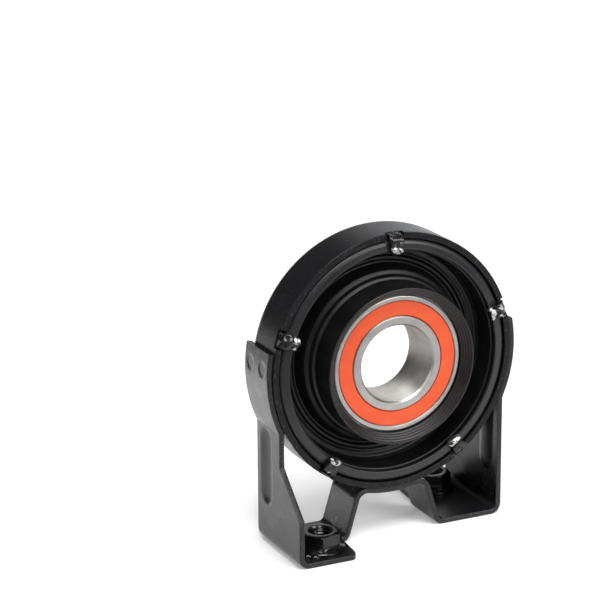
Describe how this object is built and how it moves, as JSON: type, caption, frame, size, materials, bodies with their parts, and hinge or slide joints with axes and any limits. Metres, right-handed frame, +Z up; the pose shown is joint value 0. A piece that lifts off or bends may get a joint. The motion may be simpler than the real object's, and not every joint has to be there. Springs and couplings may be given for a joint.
{
  "type": "driveshaft centre bearing",
  "caption": "Sealed ball bearing in a rubber bellows inside a sheet-metal drum, on a folded bracket with staggered feet, to carry the joint of a split propeller shaft.",
  "frame": {"origin": "on the ground under the middle of the part, with the shaft axis above it", "axes": "+Z up, +Y along the shaft axis towards the closed back of the drum, +X to the right seen from the clamp tabs"},
  "size_m": [0.1226, 0.0688, 0.1401],
  "materials": {
    "black_coat": "satin-gloss black coat",
    "insert_coat": "satin black coat",
    "black_rubber": "matt moulded rubber",
    "seal_rubber": "orange-red moulded seal",
    "ground_steel": "ground bearing steel",
    "ball_steel": "polished ball steel",
    "pressed_steel": "pressed bare steel"
  },
  "bodies": {
    "housing": {"bracket": "black_coat", "drum": "black_coat", "insert_ring": "insert_coat", "rubber_bellows": "black_rubber", "inner_sleeve": "pressed_steel", "outer_race": "ground_steel", "front_seal": "seal_rubber", "rear_seal": "seal_rubber", "nut_left": "black_coat", "nut_right": "black_coat"},
    "inner_race": {"inner_race": "ground_steel"},
    "ball_set": {"cage_front": "pressed_steel", "cage_rear": "pressed_steel", "cage_rivets": "pressed_steel", "ball_1": "ball_steel", "ball_2": "ball_steel", "ball_3": "ball_steel", "ball_4": "ball_steel", "ball_5": "ball_steel", "ball_6": "ball_steel", "ball_7": "ball_steel", "ball_8": "ball_steel", "ball_9": "ball_steel", "ball_10": "ball_steel", "ball_11": "ball_steel"}
  },
  "joints": [
    {"name": "inner_race_spin", "type": "hinge", "parent": "housing", "child": "inner_race", "pos_m": [0, -0.0081, 0.0814], "axis": [0, 1, 0], "continuous": true},
    {"name": "ball_set_spin", "type": "hinge", "parent": "housing", "child": "ball_set", "pos_m": [0, -0.0081, 0.0814], "axis": [0, 1, 0], "continuous": true}
  ],
  "couplings": [
    {"joint": "ball_set_spin", "follows": "inner_race_spin", "ratio": 0.41817}
  ]
}
